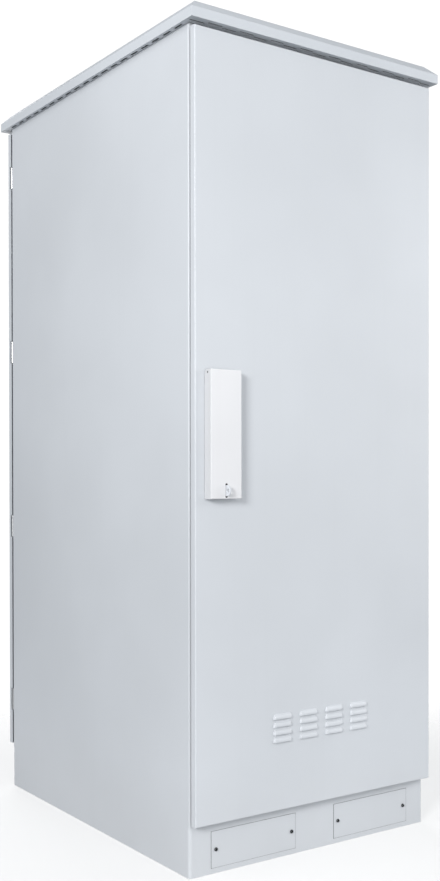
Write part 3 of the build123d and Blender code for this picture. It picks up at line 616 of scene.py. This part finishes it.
# %% Domed screws
dome_radius, dome_height, screw_level = 0.0046, 0.0026, 0.0555
dome_round, socket_radius = 0.0017, 0.0018
screw_places = (-0.2995, -0.0745, 0.0745, 0.2995)
dome = rod("dome", (0, 0, 0), (0, -dome_height, 0), dome_radius, 28)
pick(dome, "edges", lambda middle, run: middle.y < 0.0001 - dome_height and abs(run.y) < 0.1)
bpy.ops.mesh.bevel(offset=dome_round, segments=5, affect="EDGES", profile=0.55)
done()
cut(dome, rod("socket", (0, -0.0012, 0), (0, -0.0040, 0), socket_radius, 6))
screws = [
    copied(dome, f"screw_{index}", Matrix.Translation((x, plate_front, screw_level)))
    for index, x in enumerate(screw_places)
]
screws += [
    copied(item, f"rear_{item.name}", Matrix.Rotation(pi, 4, "Z")) for item in list(screws)
]
bpy.data.objects.remove(dome)
dark_steel = metal("dulled steel", (0.13, 0.135, 0.14), 0.16)
fitted(
    joined("plinth_screws", screws),
    "cabinet",
    "zinc_plated_steel",
    dark_steel,
    ("plinth_cover_screws",),
)

# %% [markdown]
# Behind the vents in the eaves lies an insect screen, a strip of woven wire. Its
# near-black colour is painted shade for the dark inside of the canopy: it keeps the
# slots dark from below. It is a flat ring: one block with another cut out of it.

# %% Insect screen over the vents
roof_low, roof_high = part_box("roof_canopy")
screen_inset, screen_foot, screen_top = 0.0023, 0.0022, 0.0030
wall_x, wall_y = 0.3745, 0.4715
screen = block(
    "insect_screen_shade",
    (roof_low[0] + screen_inset, roof_low[1] + screen_inset, roof_low[2] + screen_foot),
    (roof_high[0] - screen_inset, roof_high[1] - screen_inset, roof_low[2] + screen_top),
)
cut(screen, block("hole", (-wall_x, -wall_y, 1.9), (wall_x, wall_y, 2.0)))
screen_shade_finish, place, shader = new_finish("insect screen painted shade")
weave = place.add(
    "ShaderNodeTexWave", {"bands_direction": "X"}, {"Vector": place, "Scale": 130}
) * place.add("ShaderNodeTexWave", {"bands_direction": "Y"}, {"Vector": place, "Scale": 130})
# Painted shade: the near-black weave darkens the vent slots.
feed(
    shader,
    Base_Color=weave.mix((0.004, 0.004, 0.005, 1), (0.030, 0.032, 0.036, 1)),
    Roughness=0.8,
    Normal=weave.bump(0.6, 0.0004),
)
fitted(screen, "cabinet", "black_plastic", screen_shade_finish)

# %% [markdown]
# The pin of the lock cover is a rod whose ends sit slightly inside the cheeks. Its
# black colour is painted shade for the pivot holes, so each shows as a dark dot. It
# is a cylinder with bevelled ends.

# %% Pins of the lock covers
pin_low, pin_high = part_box("front_lock_cover_pin")
pin_y, pin_z = (pin_low[1] + pin_high[1]) / 2, (pin_low[2] + pin_high[2]) / 2
pin_inset, pin_radius, pin_round = 0.0008, 0.00248, 0.0004
pin = rod(
    "cover_pin",
    (pin_low[0] + pin_inset, pin_y, pin_z),
    (pin_high[0] - pin_inset, pin_y, pin_z),
    pin_radius,
    24,
)
pick(pin, "edges", lambda middle, run: abs(run.x) < 0.1)
bpy.ops.mesh.bevel(offset=pin_round, segments=2, affect="EDGES")
done()
# Painted shade: the pin is black so the pivot holes look dark.
pin_hole_shade_black = metal("blackened steel, painted hole shade", (0.035, 0.035, 0.037), 0.42)
fitted_at_both_doors(pin, "door", "zinc_plated_steel", pin_hole_shade_black, "lock_cover_pin")

# %% [markdown]
# The slit for the tab ends in two round relief holes. In each sits a small black
# rubber plug, painted shade for the dark inside of the cover, so each shows as a
# black dot. A plug is a short cylinder with a rounded rim, notched where the tab passes.

# %% Black plugs of painted shade in the lock covers
tab_low, tab_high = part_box("front_padlock_tab")
tab_x, tab_z = (tab_low[0] + tab_high[0]) / 2, (tab_low[2] + tab_high[2]) / 2
shade_plug_y = cover_low[1] + 0.0002
shade_plug_radius, shade_plug_length, shade_plug_round = 0.0031, 0.004, 0.0006
hole_distance = 0.0134
room_x, room_z = 0.0019, 0.0130
shade_plugs = []
for z in (tab_z - hole_distance, tab_z + hole_distance):
    shade_plug = rod(
        "shade_plug", (tab_x, shade_plug_y + shade_plug_length, z), (tab_x, shade_plug_y, z), shade_plug_radius, 24
    )
    pick(shade_plug, "edges", lambda middle, run: middle.y < shade_plug_y + 0.0001)
    bpy.ops.mesh.bevel(offset=shade_plug_round, segments=2, affect="EDGES")
    done()
    cut(
        shade_plug,
        block(
            "tab room",
            (tab_x - room_x, shade_plug_y - past, tab_z - room_z),
            (tab_x + room_x, shade_plug_y + past, tab_z + room_z),
        ),
    )
    shade_plugs.append(shade_plug)
# Painted shade: the black plugs darken the relief holes.
fitted_at_both_doors(joined("cover_shade_plugs", shade_plugs), "lock_cover", "seal_rubber")

# %% [markdown]
# The door seal is a rubber ring with a rounded bulb that meets the frame. It is a
# flat ring, and its edges towards the frame are bevelled round.

# %% Door seals
seal_low, seal_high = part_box("front_door_seal")
seal_width, bulb_round = 0.012, 0.0045
seal = block("seal_bulb", seal_low, seal_high)
cut(
    seal,
    block(
        "hole",
        (seal_low[0] + seal_width, seal_low[1] - past, seal_low[2] + seal_width),
        (seal_high[0] - seal_width, seal_high[1] + past, seal_high[2] - seal_width),
    ),
)
pick(seal, "edges", lambda middle, run: middle.y > seal_high[1] - 0.0001 and abs(run.y) < 0.1)
bpy.ops.mesh.bevel(offset=bulb_round, segments=4, affect="EDGES")
done()
fitted_at_both_doors(seal, "door", "seal_rubber", None, "door_seal", 60)

# %% [markdown]
# The filter mat is a thick fleece that dust air passes through. It is a block cut
# into small faces, and fractal subdivision makes its skin uneven. A little smoothing
# rounds its edges.

# %% Filter mats
mat_low, mat_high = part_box("front_filter_mat")
fleece = block("fleece_mat", mat_low, mat_high)
pick(fleece, "faces", lambda middle, normal: True)
bpy.ops.mesh.subdivide(number_cuts=9)
bpy.ops.mesh.subdivide(number_cuts=2, fractal=0.25, fractal_along_normal=1.0, seed=4)
bpy.ops.mesh.vertices_smooth(factor=0.5, repeat=2)
done()
for vertex in fleece.data.vertices:
    for index in range(3):
        vertex.co[index] = min(max(vertex.co[index], mat_low[index]), mat_high[index])
fitted_at_both_doors(fleece, "door", "filter_fleece", None, "filter_mat", 80)

# %% [markdown]
# Cables come through rubber grommets: a soft flange over the plate, a collar in the
# hole and a ribbed skin that stays closed until a cable is put through. One is a
# cylinder whose rim is rounded and whose middle is inset and pushed down in rings.

# %% Cable grommets
grommet_low, grommet_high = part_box("cable_grommets")
flange_radius = (grommet_high[1] - grommet_low[1]) / 2
row_y = (grommet_high[1] + grommet_low[1]) / 2
top_z = grommet_high[2]
flange_height, flange_round = 0.004, 0.0018
collar_radius, collar_depth, grommet_pitch = 0.01595, 0.014, 0.048
base = rod("grommet", (0, row_y, top_z - flange_height), (0, row_y, top_z), flange_radius, 40)
pick(base, "edges", lambda middle, run: middle.z > top_z - 0.0001)
bpy.ops.mesh.bevel(offset=flange_round, segments=3, affect="EDGES")
done()
top_middle = Vector((0, row_y, top_z))
pick(
    base,
    "faces",
    lambda middle, normal: normal.z > 0.99 and (middle - top_middle).length < 0.002,
)
for thickness, drop in ((0.004, -0.0015), (0.003, 0.0010), (0.003, -0.0010), (0.002, -0.0100)):
    bpy.ops.mesh.inset(thickness=thickness)
    bpy.ops.transform.translate(value=(0, 0, drop))
done()
pick(base, "faces", lambda middle, normal: normal.z < -0.99)
bpy.ops.mesh.inset(thickness=flange_radius - collar_radius)
bpy.ops.mesh.extrude_region_move(TRANSFORM_OT_translate={"value": (0, 0, -collar_depth)})
done()
grommets = [
    copied(base, f"grommet_{index}", Matrix.Translation(((index - 2.5) * grommet_pitch, 0, 0)))
    for index in range(6)
]
bpy.data.objects.remove(base)
fitted(
    joined("rubber_grommets", grommets), "cabinet", "seal_rubber", None, ("cable_grommets",), 40
)

# %% [markdown]
# The rack rails are folded angles with the standard square holes, three in each
# unit of height. The angle grows from a corner bar by two extrusions and its fold is
# bevelled round. The holes are cut with one comb of square bars, made by an array.

# %% Rack rails with their square holes
rail_low, rail_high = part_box("front_rack_rails")
face_width, thick, fold_round = 0.036, 0.002, 0.003
unit, units, first_unit = 0.04445, 36, 0.02
half_hole, hole_x = 0.00475, 0.4651 / 2
corner = block(
    "rail",
    (rail_high[0] - thick, rail_low[1], rail_low[2]),
    (rail_high[0], rail_low[1] + thick, rail_high[2]),
)
pick(corner, "faces", lambda middle, normal: normal.x < -0.9)
bpy.ops.mesh.extrude_region_move(TRANSFORM_OT_translate={"value": (thick - face_width, 0, 0)})
done()
pick(corner, "faces", lambda middle, normal: normal.y > 0.9 and middle.x > rail_high[0] - thick)
bpy.ops.mesh.extrude_region_move(
    TRANSFORM_OT_translate={"value": (0, rail_high[1] - rail_low[1] - thick, 0)}
)
done()
pick(
    corner,
    "edges",
    lambda middle, run: abs(run.z) > 0.9
    and middle.x > rail_high[0] - 0.0001
    and middle.y < rail_low[1] + 0.0001,
)
bpy.ops.mesh.bevel(offset=fold_round, segments=4, affect="EDGES")
done()
teeth = []
for level in (0.00635, 0.022225, 0.0381):
    z = rail_low[2] + first_unit + level
    teeth.append(
        block(
            "tooth",
            (hole_x - half_hole, rail_low[1] - past, z - half_hole),
            (hole_x + half_hole, rail_low[1] + past, z + half_hole),
        )
    )
comb = joined("comb", teeth)
modified(
    comb,
    "ARRAY",
    count=units,
    use_relative_offset=False,
    use_constant_offset=True,
    constant_offset_displace=(0, 0, unit),
)
cut(corner, comb)
other = copied(corner, "rail_left", Matrix.Scale(-1, 4, (1, 0, 0)))
other.data.flip_normals()
fitted_at_both_doors(
    joined("punched_rails", [corner, other]), "", "zinc_plated_steel", None, "rack_rails"
)

# %% [markdown]
# A finger guard of bright wire covers each fan from below: rings round a common
# middle, joined by four spokes. A ring is a torus and a spoke is a thin cylinder.

# %% Fan guards
ring_radii = (0.014, 0.026, 0.038, 0.050)
spoke_start, spoke_end, wire = 0.010, 0.074, 0.0009
for name in ("left_fan", "right_fan"):
    fan_low, fan_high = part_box(f"{name}_frame")
    fan_x, fan_y = (fan_low[0] + fan_high[0]) / 2, (fan_low[1] + fan_high[1]) / 2
    level = fan_low[2] - 3 * wire
    wires = []
    for radius in ring_radii:
        bpy.ops.object.select_all(action="DESELECT")
        bpy.ops.mesh.primitive_torus_add(
            major_radius=radius,
            minor_radius=wire,
            major_segments=40,
            minor_segments=8,
            location=(fan_x, fan_y, level),
        )
        wires.append(named("ring"))
    for quarter in range(4):
        angle = radians(45 + 90 * quarter)
        reach = Vector((cos(angle), sin(angle), 0))
        centre = Vector((fan_x, fan_y, level + 2 * wire))
        wires.append(
            rod("spoke", centre + reach * spoke_start, centre + reach * spoke_end, wire, 8)
        )
    fitted(joined(f"{name}_guard", wires), "cabinet", "zinc_plated_steel", stainless)

# %% [markdown]
# The T handle is a moulded grip. It starts as a block, its ends are bevelled round
# and its front rim is softened. The stem, the shaft and its square end are joined on.

# %% T handles
grip_low, grip_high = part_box("front_t_handle")
grip_x, grip_z = (grip_low[0] + grip_high[0]) / 2, (grip_low[2] + grip_high[2]) / 2
grip_depth, grip_round, rim_round = 0.012, 0.0058, 0.0028
stem_back, stem_radius = -0.4783, 0.009
shaft_front, shaft_radius = -0.479, 0.006
square_length, half_square = 0.004, 0.004
grip_back = grip_low[1] + grip_depth
square_front = grip_high[1] - square_length
grip = block("t_grip", grip_low, (grip_high[0], grip_back, grip_high[2]))
pick(grip, "edges", lambda middle, run: abs(run.y) > 0.9)
bpy.ops.mesh.bevel(offset=grip_round, segments=6, affect="EDGES")
done()
pick(grip, "edges", lambda middle, run: middle.y < grip_low[1] + 0.0001 and abs(run.y) < 0.1)
bpy.ops.mesh.bevel(offset=rim_round, segments=4, affect="EDGES")
done()
stem_start = (grip_x, grip_back - 0.002, grip_z)
cut(grip, rod("stem", stem_start, (grip_x, stem_back, grip_z), stem_radius), "UNION")
shaft_start = (grip_x, shaft_front, grip_z)
cut(grip, rod("shaft", shaft_start, (grip_x, square_front, grip_z), shaft_radius), "UNION")
cut(
    grip,
    block(
        "square",
        (grip_x - half_square, square_front - 0.001, grip_z - half_square),
        (grip_x + half_square, grip_high[1], grip_z + half_square),
    ),
    "UNION",
)
fitted_at_both_doors(grip, "handle", "black_plastic", None, "t_handle")

# %% [markdown]
# The picture stands on pure white. The floor is a plain pale sheet that fades out
# with the distance from the cabinet, so it keeps the soft contact shadow and leaves
# no horizon.

# %% Floor
bpy.ops.object.select_all(action="DESELECT")
bpy.ops.mesh.primitive_plane_add(size=24, location=(0, 0, -0.0005))
floor = named("studio_floor")
floor_finish, floor_place, floor_shader = new_finish("pale floor")
floor_share, fade_start, fade_end = 0.5, 0.8, 1.9
from_middle = floor_place.add(
    "ShaderNodeVectorMath", {"operation": "LENGTH"}, {0: floor_place}, 1
)
feed(
    floor_shader,
    Base_Color=floor_place.noise(0.8, 2).mix((0.86, 0.86, 0.87, 1), (0.90, 0.90, 0.90, 1)),
    Roughness=0.9,
    Alpha=floor_share - from_middle.step(fade_start, fade_end) * floor_share,
)
floor.data.materials.append(floor_finish)
print("floor", tuple(floor.dimensions))
